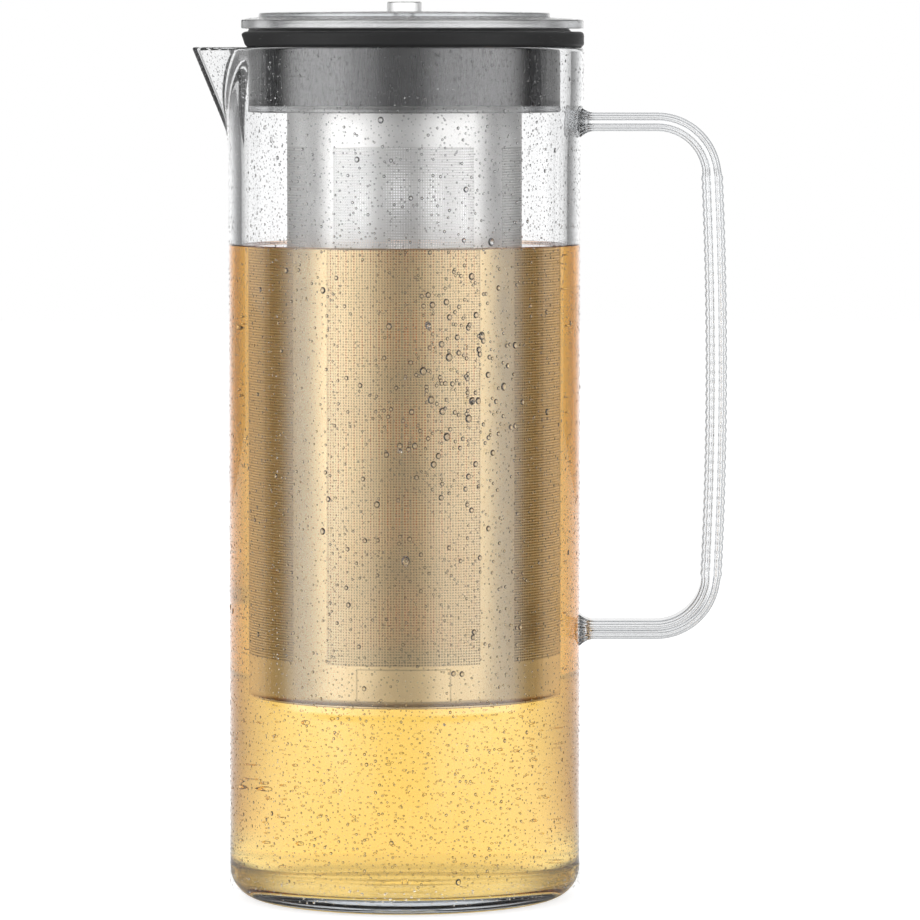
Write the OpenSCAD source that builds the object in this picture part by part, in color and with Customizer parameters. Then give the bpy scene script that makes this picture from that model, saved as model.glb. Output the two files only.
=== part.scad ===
// Iced tea maker: a tall clear jug with a side handle and a beak spout, a lid with a steel band and
// a rubber seal, and a perforated steel filter that hangs from the lid. Millimetres, +Z up.
// The origin is the middle of the flat base. The spout points along -X and the handle along +X.

/* [Jug] */
// Height of the jug from its base to its rim
jug_h = 255.5; // [220:0.5:300]
// Outer diameter of the jug's straight body
body_d = 105.2; // [94:0.2:125]
// Thickness of the jug's wall
wall = 3.7; // [2.4:0.1:4.4]
// Thickness of the jug's floor
floor_t = 5.6; // [4:0.1:9]
// Radius of the outer corner round the base
base_round = 9; // [4:0.5:14]
// Radius of the inner corner round the floor
floor_round = 5; // [2:0.5:10]
// How far the neck's radius grows above the straight body
neck_flare = 1.1; // [0:0.1:3]
// Height of the straight neck above the flare
neck_h = 11.5; // [6:0.5:20]
// Height over which the body widens to the neck
flare_h = 22; // [10:1:40]
// Radius of the rim's two edges
rim_round = 0.9; // [0.3:0.1:1.1]
// Diameter of the moulding mark in the middle of the floor
gate_d = 13.8; // [8:0.2:30]
// Depth of the moulding mark
gate_depth = 0.4; // [0.2:0.1:1.2]
// Diameter of the nub in the moulding mark
nub_d = 1.6; // [1:0.2:5]
// Height of the nub above the mark
nub_h = 2; // [0.5:0.1:4]

/* [Spout] */
// How far the beak's tip stands out from the body
spout_reach = 11.2; // [6:0.2:18]
// Height of the beak, from the rim to its root on the body
spout_h = 28.5; // [16:0.5:45]
// Half of the angle that the beak spans on the rim, in degrees
spout_join = 25; // [18:1:34]
// Thickness of the beak's wall
spout_wall = 2.9; // [2:0.1:3.6]
// Radius of the beak's tip in plan
tip_round = 1.6; // [0.8:0.1:2.2]

/* [Handle] */
// Drop from the rim to the middle of the upper arm
handle_drop = 22.3; // [18:0.5:40]
// Distance between the middles of the two arms
handle_h = 152.5; // [110:0.5:180]
// Distance from the body to the middle of the grip, at its furthest
handle_reach = 40.9; // [32:0.1:55]
// Thickness of the handle's bar, in the plane of its loop
bar_t = 5.6; // [4:0.1:8]
// Width of the bar across the loop
bar_w = 12.5; // [9:0.5:20]
// Radius of the bar's long edges
bar_round = 2.3; // [0.8:0.1:2.6]
// How far the grip's two broad faces stand out from the bar
grip_proud = 0.5; // [0.2:0.1:1.5]
// How far the grip's two edges stand out from the bar
grip_side = 0.2; // [0.1:0.1:1]
// Radius of the two bends, to the middle of the bar
bend_r = 16.5; // [12:0.5:22]
// Radius of the grip's slight outward bow
bow_r = 1250; // [600:50:4000]
// How far the foot of each arm spreads over the wall
root_spread = 1.9; // [0.5:0.1:4]
// Length over which each foot spreads
root_len = 3.8; // [2:0.1:7]

/* [Filter] */
// Gap between the body's inner wall and the filter's tube, which the tea fills
tea_gap = 13.7; // [9:0.1:20]
// Thickness of the filter's sheet
sheet_t = 0.6; // [0.4:0.1:1.2]
// Length of the filter below its seat in the lid
filter_len = 177.9; // [120:0.5:205]
// Height of the blank band below the windows
blank_low = 12.6; // [9:0.2:30]
// Height of the blank band above the windows, up to the seat
blank_high = 12.3; // [4:0.1:40]
// Angle that each of the four windows spans, in degrees
window_angle = 71; // [40:1:80]
// Thickness of the perforated sheet in the windows
mesh_t = 0.4; // [0.2:0.1:0.4]
// Height of the base cup's wall inside the tube
cup_h = 5; // [3:0.5:7]
// Width of the rim ring by which the filter hangs
hang_w = 4.8; // [3:0.1:6]
// Thickness of the rim ring
hang_t = 1.2; // [0.8:0.1:2]

/* [Lid] */
// Gap between the ring at the foot of the lid's skirt and the body's inner wall
pour_gap = 2.1; // [1.2:0.1:3]
// Thickness of the skirt's wall
skirt_wall = 2; // [1.2:0.1:2.5]
// Thickness of the ring at the foot of the skirt
foot_t = 2.1; // [1.5:0.1:4]
// How far the foot ring stands out from the skirt
foot_lip = 0.6; // [0.5:0.1:1]
// Height of the steel band
band_h = 17.2; // [10:0.2:22]
// Thickness of the steel band
band_t = 0.4; // [0.3:0.1:0.5]
// Height of the rubber seal at its inner edge
seal_h = 5.5; // [4:0.1:8]
// How far the seal stands out past the neck
seal_over = 0.1; // [0:0.1:1]
// How far the seal's outer part lies below its inner part
seal_step = 0.9; // [0.3:0.1:1.4]
// Radius of the seal's upper outer edge
seal_round = 1.3; // [0.5:0.1:1.6]
// Chamfer of the seal's lower outer edge
seal_chamfer = 0.7; // [0.3:0.1:1.4]
// How far the cover plate stands out past the neck
plate_over = 0; // [0:0.1:1.5]
// Thickness of the cover plate at its edge
plate_t = 2.6; // [2:0.1:4]
// How far the plate's dome would rise from its edge to its middle
plate_rise = 2; // [0.2:0.1:4]
// How far the straight cut that frees the spout lies outside the skirt's foot ring
cut_clear = 1.4; // [0.8:0.1:3]
// How far the edge of the filling hole stands in from the skirt's inner wall
hole_inset = 3.2; // [1:0.1:12]

/* [Cap] */
// How far the raised cap overlaps the plate round the filling hole
cap_lap = 2.6; // [1.5:0.1:5]
// Thickness of the cap at its edge
cap_t = 1.4; // [1:0.1:3]
// How far the cap's middle rises above its edge
cap_rise = 0.4; // [0.2:0.1:1.5]
// Depth of the ring under the cap that centres it in the hole
spigot_h = 2; // [1:0.1:2.5]
// Wall of the centring ring
spigot_wall = 2; // [1:0.1:4]
// Diameter of the knob
knob_d = 10.3; // [6:0.1:20]
// Height of the knob above the cap
knob_h = 3; // [2:0.1:12]
// Radius of the knob's upper edge
knob_round = 0.4; // [0.1:0.1:1.2]
// Diameter of the stem that holds the knob
stem_d = 4; // [2:0.1:5]

/* [Clearances] */
// Gap between parts that lift out of each other
lift_gap = 0.3; // [0.2:0.05:0.6]
// Gap between parts that are pushed on and stay
push_gap = 0.1; // [0.05:0.01:0.15]

/* [Hidden] */
$fn = 96;

// Segments in a quarter of a small round edge, and in a long easy curve
edge_steps = 6;
curve_steps = 10;
// Sides of the small rods and balls that the beak is stretched over
hull_sides = 32;
// Sides of the full circle that the grip's bow is part of
bow_sides = 2400;
// How far a cutting shape runs past what it cuts
past = 1;

body_r = body_d / 2;
inner_r = body_r - wall;
neck_r = body_r + neck_flare;
neck_inner_r = neck_r - wall;
flare_top = jug_h - neck_h;
flare_foot = flare_top - flare_h;

// The filter hangs on the skirt's foot ring, and the foot ring hangs below the band
band_z = jug_h - band_h;
seat_z = band_z;
foot_z = band_z - foot_t;
foot_r = inner_r - pour_gap;
skirt_r = foot_r - foot_lip;
skirt_in = skirt_r - skirt_wall;
seal_top = jug_h + seal_h;
seal_r = neck_r + seal_over;
seal_in = skirt_r + push_gap;
tube_r = inner_r - tea_gap;
tube_z = seat_z - filter_len;
window_z = tube_z + blank_low;
window_h = filter_len - blank_low - blank_high;
plate_r = neck_r + plate_over;
cut_at = foot_r + cut_clear;
hole_r = skirt_in - hole_inset;
cap_r = hole_r + cap_lap;
cap_z = seal_top + plate_t + plate_rise * rise_at(cap_r);
spigot_r = hole_r - lift_gap;
knob_z = cap_z + cap_t + cap_rise;

// Tip and root of the beak. The hollow's ridge runs parallel to the outer ridge.
tip_x = body_r + spout_reach;
hollow_tip_x = tip_x - spout_wall;
root_z = jug_h - spout_h;
hollow_root_z = jug_h - spout_h * (hollow_tip_x - inner_r) / spout_reach;
// Height of the small rods along the beak's upper edge, and how much wider the hollow spreads
beak_edge = 1;
hollow_extra = 4;

// The handle's arms, the centre of its bow and the centres of its bends, which touch the bow
arm_top = jug_h - handle_drop;
arm_low = arm_top - handle_h;
grip_mid = (arm_top + arm_low) / 2;
bow_x = body_r + handle_reach - bow_r;
bend_up = handle_h / 2 - bend_r;
bow_angle = asin(bend_up / (bow_r - bend_r));
bend_x = bow_x + (bow_r - bend_r) * cos(bow_angle);
// How deep the arms start in the wall before the body's form trims them
arm_bite = 3;
// How far the grip runs over each bend's end
grip_lap = 1;
grip_t = bar_t + 2 * grip_proud;
grip_w = bar_w + 2 * grip_side;
// The flat left between a bar's rounded edges, at the least
least_flat = 0.4;
// Thickness of the slices that a foot is stretched between, and its spread at the wall's face
slice_t = 0.2;
wall_spread = root_spread * 0.6;
// Height of the seal's pointed edge below its top
lip_drop = seal_h * 0.3;

function arc(x, y, r, from, to, steps) =
    [for (i = [0:steps]) let (a = from + (to - from) * i / steps) [x + r * cos(a), y + r * sin(a)]];

// Eases from 0 to 1 with a level start and a level end
function ease(t) = t * t * (3 - 2 * t);

// Share of the plate's rise that is reached at a radius, from 0 at its edge to 1 on the axis
function rise_at(r) = 1 - pow(r / plate_r, 2);

// Points up the flare between two radii
function flare(low_r, high_r) = [for (i = [0:curve_steps]) let (t = i / curve_steps)
    [low_r + (high_r - low_r) * ease(t), flare_foot + flare_h * t]];

function reversed(list) = [for (i = [len(list) - 1:-1:0]) list[i]];

// Outer form of the jug, from the base to the rim, as half of a section
function jug_outline() = concat(
    [[0, 0]],
    arc(body_r - base_round, base_round, base_round, -90, 0, curve_steps),
    flare(body_r, neck_r),
    arc(neck_r - rim_round, jug_h - rim_round, rim_round, 0, 90, edge_steps),
    [[0, jug_h]]);

// Space inside the jug, which opens past the rim
function jug_hollow() = concat(
    [[0, floor_t - gate_depth + nub_h], [nub_d / 2, floor_t - gate_depth + nub_h],
     [nub_d / 2, floor_t - gate_depth], [gate_d / 2 - gate_depth, floor_t - gate_depth],
     [gate_d / 2, floor_t]],
    arc(inner_r - floor_round, floor_t + floor_round, floor_round, -90, 0, curve_steps),
    flare(inner_r, neck_inner_r),
    arc(neck_inner_r + rim_round, jug_h - rim_round, rim_round, 180, 90, edge_steps),
    [[neck_inner_r + rim_round, jug_h + past], [0, jug_h + past]]);

// A bar's section: x runs across the width w, y through the thickness t. The edge's radius is at
// most what the thickness has room for.
function bar_section(w, t, round_r) = let (r = min(round_r, (min(w, t) - least_flat) / 2)) concat(
    arc(w / 2 - r, t / 2 - r, r, 0, 90, edge_steps),
    arc(r - w / 2, t / 2 - r, r, 90, 180, edge_steps),
    arc(r - w / 2, r - t / 2, r, 180, 270, edge_steps),
    arc(w / 2 - r, r - t / 2, r, 270, 360, edge_steps));

function turned(points) = [for (p = points) [p[1], p[0]]];

// A small rod that stands under the rim, at a distance and an angle from the spout's own direction
module rim_rod(distance, angle, r, low, high)
    rotate([0, 0, 180 + angle])
        translate([distance, 0, low])
            cylinder(r = r, h = high - low, $fn = hull_sides);

module beak()
    hull() {
        rim_rod(tip_x - tip_round, 0, tip_round, jug_h - beak_edge, jug_h);
        for (side = [-1, 1])
            rim_rod(neck_r - beak_edge, side * spout_join, beak_edge, jug_h - beak_edge, jug_h);
        translate([beak_edge - body_r, 0, root_z])
            sphere(r = beak_edge, $fn = hull_sides);
    }

module beak_hollow()
    hull() {
        rim_rod(hollow_tip_x - tip_round / 2, 0, tip_round / 2, jug_h - beak_edge, jug_h + past);
        for (side = [-1, 1])
            rim_rod(neck_inner_r - beak_edge, side * (spout_join + hollow_extra), beak_edge,
                    jug_h - beak_edge, jug_h + past);
        translate([beak_edge - inner_r, 0, hollow_root_z])
            sphere(r = beak_edge, $fn = hull_sides);
    }

module jug_form() rotate_extrude() polygon(jug_outline());

module jug_body()
    color([0.86, 0.9, 0.93, 0.35])
    difference() {
        union() {
            jug_form();
            beak();
        }
        rotate_extrude() polygon(jug_hollow());
        beak_hollow();
    }

// A bar section turned so that its thickness runs along x, and carried round part of a ring
module bent_bar(r, angle, w, t, sides)
    rotate_extrude(angle = angle, $fn = sides)
        translate([r, 0])
            polygon(turned(bar_section(w, t, bar_round)));

// A thin slice of an arm's foot, grown all round
module foot_slice(x, grow)
    translate([x, 0, 0])
        rotate([90, 0, 90])
            linear_extrude(height = slice_t)
                polygon(bar_section(bar_w + 2 * grow, bar_t + 2 * grow, bar_round + grow));

// The spread foot of an arm, along +X from the wall
module foot() {
    hull() {
        foot_slice(body_r - arm_bite, root_spread);
        foot_slice(body_r + neck_flare, wall_spread);
    }
    hull() {
        foot_slice(body_r + neck_flare, wall_spread);
        foot_slice(body_r + root_len, 0);
    }
}

// An arm with its bend: straight from the wall to the bend's start, then down towards the grip
module arm_and_bend() {
    foot();
    translate([bend_x, 0, 0]) {
        rotate([90, 0, -90])
            linear_extrude(height = bend_x - body_r + arm_bite)
                polygon(bar_section(bar_w, bar_t, bar_round));
        translate([0, 0, -bend_r])
            rotate([0, 0, -90])
                rotate([0, -90, 0])
                    bent_bar(bend_r, 90 - bow_angle, bar_w, bar_t, $fn);
    }
}

module grip() {
    reach = bow_angle + asin(grip_lap / bow_r);
    translate([bow_x, 0, grip_mid])
        rotate([90, 0, 0])
            rotate([0, 0, -reach])
                bent_bar(bow_r, 2 * reach, grip_w, grip_t, bow_sides);
}

module handle()
    color([0.88, 0.92, 0.95, 0.5])
    difference() {
        union() {
            translate([0, 0, arm_top]) arm_and_bend();
            translate([0, 0, arm_low]) mirror([0, 0, 1]) arm_and_bend();
            grip();
        }
        jug_form();
    }

// A ring sector of the filter's wall, from angle -spread/2 to spread/2 about a direction
module wall_sector(in_r, out_r, low, high, toward, spread)
    rotate([0, 0, toward - spread / 2])
        rotate_extrude(angle = spread)
            translate([in_r, low])
                square([out_r - in_r, high - low]);

module filter_tube()
    color("silver")
    difference() {
        rotate_extrude()
            translate([tube_r - sheet_t, tube_z + sheet_t])
                square([sheet_t, seat_z - tube_z - sheet_t]);
        for (toward = [-90, 0, 90, 180])
            wall_sector(tube_r - sheet_t - past, tube_r + past, window_z, window_z + window_h,
                        toward, window_angle);
    }

// One perforated window, level with the tube's outer face
module mesh_window(toward)
    color("darkgray")
        wall_sector(tube_r - mesh_t, tube_r, window_z, window_z + window_h, toward, window_angle);

// A pressed cup that closes the tube's lower end
module filter_base()
    color("silver")
    rotate_extrude() {
        cup_r = tube_r - sheet_t - push_gap;
        polygon([[0, tube_z], [tube_r, tube_z], [tube_r, tube_z + sheet_t],
                 [cup_r, tube_z + sheet_t], [cup_r, tube_z + sheet_t + cup_h],
                 [cup_r - sheet_t, tube_z + sheet_t + cup_h], [cup_r - sheet_t, tube_z + sheet_t],
                 [0, tube_z + sheet_t]]);
    }

// The ring by which the filter hangs on the skirt's foot
module filter_rim()
    color("silver")
    rotate_extrude()
        translate([tube_r - sheet_t, seat_z])
            square([sheet_t + hang_w, hang_t]);

module lid_skirt()
    color([0.86, 0.9, 0.93, 0.5])
    rotate_extrude()
        polygon([[tube_r + lift_gap, foot_z], [foot_r, foot_z], [foot_r, band_z],
                 [skirt_r, band_z], [skirt_r, seal_top], [skirt_in, seal_top],
                 [skirt_in, seat_z], [tube_r + lift_gap, seat_z]]);

module steel_band()
    color("dimgray")
    rotate_extrude()
        translate([skirt_r + push_gap, band_z])
            square([band_t, band_h]);

// Section of the seal: flat under its inner part, chamfered below and rounded above at its edge
function seal_section() = let (outer_top = seal_top - seal_step)
    concat(
        [[seal_in, jug_h], [seal_r - seal_chamfer, jug_h], [seal_r, jug_h + seal_chamfer]],
        arc(seal_r - seal_round, outer_top - seal_round, seal_round, 0, 90, edge_steps),
        [[neck_inner_r, outer_top], [neck_inner_r - seal_step, seal_top], [seal_in, seal_top]]);

module seal()
    color([0.16, 0.16, 0.17])
    difference() {
        rotate_extrude() polygon(seal_section());
        // The pointed edge over the spout: a notch whose inside is the shape of an arrowhead
        lip_z = seal_top - lip_drop;
        foot_x = seal_in + band_t + push_gap;
        rotate([90, 0, 0])
            linear_extrude(height = 2 * (seal_r + past), center = true)
                polygon([[-seal_r - past, jug_h - past], [-foot_x, jug_h - past], [-foot_x, jug_h],
                         [-cut_at, lip_z], [-foot_x, seal_top], [-foot_x, seal_top + past],
                         [-seal_r - past, seal_top + past]]);
    }

// Half of the plate's section: flat below, a shallow dome above, and level under the cap
function plate_section() = concat(
    [[hole_r, seal_top], [plate_r, seal_top]],
    [for (i = [0:curve_steps]) let (r = plate_r + (cap_r - plate_r) * i / curve_steps)
        [r, seal_top + plate_t + plate_rise * rise_at(r)]],
    [[hole_r, cap_z]]);

module lid_plate()
    color([0.9, 0.93, 0.95, 0.5])
    difference() {
        rotate_extrude() polygon(plate_section());
        translate([-cut_at - plate_r, -plate_r - past, seal_top - past])
            cube([plate_r, 2 * (plate_r + past), seal_h + 2 * past]);
    }

module cap()
    color([0.92, 0.95, 0.97, 0.5])
    rotate_extrude() {
        top = cap_z + cap_t;
        polygon(concat(
            [[stem_d / 2 + push_gap, cap_z], [spigot_r - spigot_wall, cap_z],
             [spigot_r - spigot_wall, cap_z - spigot_h], [spigot_r, cap_z - spigot_h],
             [spigot_r, cap_z], [cap_r, cap_z], [cap_r, top]],
            [for (i = [1:curve_steps]) let (r = cap_r + (knob_d / 2 - cap_r) * i / curve_steps)
                [r, top + cap_rise * ease(1 - (r - knob_d / 2) / (cap_r - knob_d / 2))]],
            [[stem_d / 2 + push_gap, knob_z]]));
    }

module knob()
    color([0.94, 0.95, 0.96, 0.7])
    rotate_extrude()
        polygon(concat(
            [[0, cap_z], [stem_d / 2, cap_z], [stem_d / 2, knob_z], [knob_d / 2, knob_z]],
            arc(knob_d / 2 - knob_round, knob_z + knob_h - knob_round, knob_round, 0, 90, edge_steps),
            [[0, knob_z + knob_h]]));

jug_body();
handle();
filter_tube();
mesh_window(-90);  // mesh_front
mesh_window(0);  // mesh_right
mesh_window(90);  // mesh_back
mesh_window(180);  // mesh_left
filter_base();
filter_rim();
lid_skirt();
steel_band();
seal();
lid_plate();
cap();
knob();
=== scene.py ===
# %% [markdown]
# # Dressing an iced tea maker
#
# The object is a tall clear jug with a beak spout and a ribbed loop handle. Its lid has a clear plate with
# a raised cap and a knob, a black rubber seal and a dark steel band, and from it hangs a perforated steel
# filter. The jug holds tea, and cold condensation has settled on its outside.
#
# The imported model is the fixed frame. Nearly every solid gets a smooth shell of the same size here, because
# clear plastic shows each facet of a coarse mesh, and the fine details (holes, ribs, drops) are too small
# for the solids. Lengths are written in millimetres, and meshes become metres in one place. Shaders know
# only metres, so theirs are converted by the same factor or, on the stage, written in metres.

import math

import bpy
import numpy as np
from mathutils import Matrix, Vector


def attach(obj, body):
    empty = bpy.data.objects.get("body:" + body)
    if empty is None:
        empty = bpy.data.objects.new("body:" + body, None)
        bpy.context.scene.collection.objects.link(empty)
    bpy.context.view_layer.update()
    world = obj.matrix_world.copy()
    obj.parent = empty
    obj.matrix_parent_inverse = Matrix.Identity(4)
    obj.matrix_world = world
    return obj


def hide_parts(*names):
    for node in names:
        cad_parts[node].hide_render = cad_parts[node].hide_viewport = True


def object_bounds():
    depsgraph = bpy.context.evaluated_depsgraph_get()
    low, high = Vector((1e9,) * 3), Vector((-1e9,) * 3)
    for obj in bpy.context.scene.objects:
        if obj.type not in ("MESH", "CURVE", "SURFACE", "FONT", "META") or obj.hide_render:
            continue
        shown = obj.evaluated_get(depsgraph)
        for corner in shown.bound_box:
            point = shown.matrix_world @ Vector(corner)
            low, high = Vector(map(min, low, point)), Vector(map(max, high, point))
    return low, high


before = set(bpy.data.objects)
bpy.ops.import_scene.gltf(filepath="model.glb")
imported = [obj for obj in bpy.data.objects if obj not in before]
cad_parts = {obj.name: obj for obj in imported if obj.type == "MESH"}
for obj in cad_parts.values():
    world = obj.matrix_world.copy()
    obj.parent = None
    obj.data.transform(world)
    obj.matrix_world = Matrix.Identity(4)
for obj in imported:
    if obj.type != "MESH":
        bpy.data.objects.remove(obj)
cad_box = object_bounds()
MM = 0.001
TURN = 2 * math.pi
print("box of the solids", [[round(v, 4) for v in corner] for corner in cad_box])

# %% [markdown]
# ## Sizes shared by several pieces
#
# A filter that hangs in a lid that sits in a jug has to fit, so the sizes that several pieces meet at are
# named once. They repeat the solids' own sizes.

# %% Sizes in millimetres
JUG_H = 255.5
BODY_R = 52.6
WALL = 3.7
INNER_R = BODY_R - WALL
FLOOR_T, FLOOR_CORNER = 5.6, 5.0
BASE_CORNER, LIP = 9.0, 0.9
NECK_FLARE = 1.1
FLARE_FOOT, FLARE_TOP = 222.0, 244.0
TUBE_R = 35.2
TUBE_Z = 60.4
SHEET_T = 0.6
SEAT_Z = 238.3
WINDOW_Z, WINDOW_TOP = 73.0, 226.0
WINDOW_ANGLE = math.radians(71)
SEAL_TOP = 261.0
PLATE_R = 53.7
CUT_AT = 48.2
CAP_R, CAP_Z = 43.6, 264.28
TEA_Z = 196.1
print("tea stands", round((TEA_Z - FLOOR_T) / (JUG_H - FLOOR_T), 2), "of the way up the inside")

# %% [markdown]
# ## Helpers: outlines, shells and pieces
#
# Most of the pieces are turned, like pots on a wheel. They could be made with a Screw modifier on a drawn
# outline. Here an outline is an array of radii and heights, and numpy carries it round the axis, so that
# the spout or the straight cut in the lid is one more formula on the same grid.

# %% Outlines with softened corners
def softened(corners, radii, steps=5):
    """A polygon's corners become short curves. Each curve is quadratic: it starts one radius before the
    corner, ends one radius after it and has the corner as its handle, (1-t)^2 A + 2t(1-t) C + t^2 B.
    One more point on either side keeps the flats flat under smooth shading."""
    c = np.asarray(corners, float)
    r = np.broadcast_to(np.asarray(radii, float), len(c))[:, None]
    back, ahead = np.roll(c, 1, 0) - c, np.roll(c, -1, 0) - c
    back_l = np.linalg.norm(back, axis=1, keepdims=True)
    ahead_l = np.linalg.norm(ahead, axis=1, keepdims=True)
    start = c + back / back_l * np.minimum(r, 0.45 * back_l)
    end = c + ahead / ahead_l * np.minimum(r, 0.45 * ahead_l)
    guard_a = c + back / back_l * np.minimum(1.2 * r + 0.1, 0.5 * back_l)
    guard_b = c + ahead / ahead_l * np.minimum(1.2 * r + 0.1, 0.5 * ahead_l)
    t = np.linspace(0, 1, steps)[None, :, None]
    curve = (1 - t) ** 2 * start[:, None] + 2 * t * (1 - t) * c[:, None] + t**2 * end[:, None]
    line = np.concatenate([guard_a[:, None], curve, guard_b[:, None]], 1).reshape(-1, 2)
    keep = np.linalg.norm(line - np.roll(line, 1, 0), axis=1) > 1e-5
    return line[keep]


def ease(t):
    """Smooth step from 0 to 1: t^2 (3 - 2t), held at its ends."""
    t = np.clip(t, 0, 1)
    return t * t * (3 - 2 * t)


# %% Grids into faces
def grid_faces(rows, columns, ring=False):
    """Quads of a grid whose columns run round and meet. Vertex number = row * columns + column. With
    ring the last row also meets the first."""
    r = np.arange(rows if ring else rows - 1)[:, None]
    c = np.arange(columns)[None, :]
    here, right = r * columns + c, r * columns + (c + 1) % columns
    over = (r + 1) % rows * columns
    return np.stack([here, right, over + (c + 1) % columns, over + c], -1).reshape(-1, 4)


def end_fans(rows, columns):
    """Triangles from a grid's first and last ring to two poles, which are the vertices after its own."""
    c = np.arange(columns)
    first = np.stack([c, (c + 1) % columns, np.full(columns, rows * columns)], -1)
    last = first + [(rows - 1) * columns, (rows - 1) * columns, 1]
    return np.concatenate([first[:, ::-1], last])


# %% Arrays into a finished piece
def piece(name, points, quads, triangles=(), material=None, body=None, replaces=(), slot=None,
          open_sheet=False):
    """Puts whole arrays into a mesh, at the origin. The faces of a closed shell are turned outwards by the
    sign of its volume, the sum of a . (b x c) / 6 over its triangles."""
    points = np.asarray(points, float).reshape(-1, 3) * MM
    quads = np.asarray(quads, int).reshape(-1, 4)
    triangles = np.asarray(triangles, int).reshape(-1, 3)
    halves = np.concatenate([triangles, quads[:, [0, 1, 2]], quads[:, [0, 2, 3]]])
    a, b, c = (points[halves[:, k]] for k in range(3))
    volume = float(np.einsum("ij,ij->", a, np.cross(b, c))) / 6
    if volume < 0 and not open_sheet:
        quads, triangles = quads[:, ::-1], triangles[:, ::-1]
    mesh = bpy.data.meshes.new(name)
    loops = np.concatenate([quads.ravel(), triangles.ravel()]).astype(np.int32)
    starts = np.concatenate([np.arange(len(quads)) * 4, len(quads) * 4 + np.arange(len(triangles)) * 3])
    mesh.vertices.add(len(points))
    mesh.vertices.foreach_set("co", points.astype(np.float32).ravel())
    mesh.loops.add(len(loops))
    mesh.loops.foreach_set("vertex_index", loops)
    mesh.polygons.add(len(starts))
    mesh.polygons.foreach_set("loop_start", starts.astype(np.int32))
    mesh.update(calc_edges=True)
    mesh.shade_smooth()
    made = bpy.data.objects.new(name, mesh)
    bpy.context.scene.collection.objects.link(made)
    if material:
        mesh.materials.append(material)
    if body:
        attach(made, body)
    if replaces:
        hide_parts(*replaces)
    print(f"{name}: {len(halves)} triangles, {abs(volume) * 1e6:.2f} cm3")
    return made


def turned(name, outline, around=256, bend=None, **kind):
    """Carries an outline of (radius, height) round the axis: point = (r cos a, r sin a, z). bend(r, z, a)
    may change the radii. An outline that starts and ends on the axis gets one pole vertex at each end,
    and any other is a ring."""
    line = np.asarray(outline, float)
    on_axis = line[:, 0] < 1e-6
    sides = line[~on_axis]
    a = np.arange(around) / around * TURN
    r = np.repeat(sides[:, :1], around, 1)
    z = np.repeat(sides[:, 1:], around, 1)
    if bend:
        r, z = bend(r, z, a[None, :])
    points = np.stack([r * np.cos(a), r * np.sin(a), z], -1).reshape(-1, 3)
    rows = len(sides)
    if not on_axis.any():
        return piece(name, points, grid_faces(rows, around, ring=True), **kind)
    poles = line[on_axis][[0, -1]]
    points = np.concatenate([points, np.stack([poles[:, 0], poles[:, 0], poles[:, 1]], -1)])
    return piece(name, points, grid_faces(rows, around), end_fans(rows, around), **kind)


# %% [markdown]
# ## Material helpers
#
# Each finish is built from nodes. The helpers only save typing: one adds a node and sets its sockets, and the
# others stand for the few kinds that every finish needs. All patterns lie on the piece's own coordinates, so
# that they move with the piece.

# %% Materials and nodes
def bare_material(name):
    """A material with only an output, returned with its tree and that output."""
    made = bpy.data.materials.new(name)
    made.use_nodes = True
    made.node_tree.nodes.clear()
    return made, made.node_tree, made.node_tree.nodes.new("ShaderNodeOutputMaterial")


def blank_material(name):
    """A material with only an output and a Principled BSDF, returned with its tree and both nodes."""
    made, tree, out = bare_material(name)
    skin = tree.nodes.new("ShaderNodeBsdfPrincipled")
    tree.links.new(skin.outputs[0], out.inputs["Surface"])
    return made, tree, skin, out


def add(tree, kind, inputs=None, **settings):
    """Adds a node, applies its settings, and fills inputs with numbers or links."""
    made = tree.nodes.new(kind)
    for key, value in settings.items():
        setattr(made, key, value)
    for key, value in (inputs or {}).items():
        if isinstance(value, bpy.types.NodeSocket):
            tree.links.new(value, made.inputs[key])
        else:
            made.inputs[key].default_value = value
    return made


def grey(level):
    """A colour with three equal parts."""
    return (level, level, level, 1)


# %% Numbers and colours in a node tree
def calc(tree, operation, *values):
    """The result of one Math node on one or two numbers or links."""
    return add(tree, "ShaderNodeMath", dict(enumerate(values)), operation=operation).outputs[0]


def spread(tree, value, low, high, from_low=0.0, from_high=1.0):
    """Maps a value from one range onto another, straight and clamped."""
    return add(tree, "ShaderNodeMapRange", {"Value": value, "From Min": from_low, "From Max": from_high,
                                            "To Min": low, "To Max": high}).outputs[0]


def mix(tree, share, a, b, data_type="RGBA", **settings):
    """A colour or number that is a where share is 0 and b where it is 1."""
    made = add(tree, "ShaderNodeMix", {"Factor": share, "A": a, "B": b}, data_type=data_type, **settings)
    return made.outputs["Result"]


# %% Patterns on the piece's own coordinates
def own(tree):
    """The piece's own coordinates in metres."""
    return add(tree, "ShaderNodeTexCoord").outputs["Object"]


def own_xyz(tree):
    """The same as three outputs named X, Y and Z."""
    return add(tree, "ShaderNodeSeparateXYZ", {0: own(tree)}).outputs


def noise(tree, size_mm, detail, stretch=(1, 1, 1)):
    """Noise between 0 and 1 with blobs about size_mm across. A stretch below 1 draws them out."""
    where = add(tree, "ShaderNodeMapping", {"Vector": own(tree), "Scale": stretch}).outputs[0]
    return add(tree, "ShaderNodeTexNoise", {"Vector": where, "Scale": 1 / (size_mm * MM),
                                            "Detail": detail}).outputs["Fac"]


def bump(tree, skin, height, depth_mm):
    """Lets a height between 0 and 1 tilt the surface as if it were depth_mm deep."""
    made = add(tree, "ShaderNodeBump", {"Height": height, "Distance": depth_mm * MM, "Strength": 1.0})
    tree.links.new(made.outputs[0], skin.inputs["Normal"])
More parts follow.
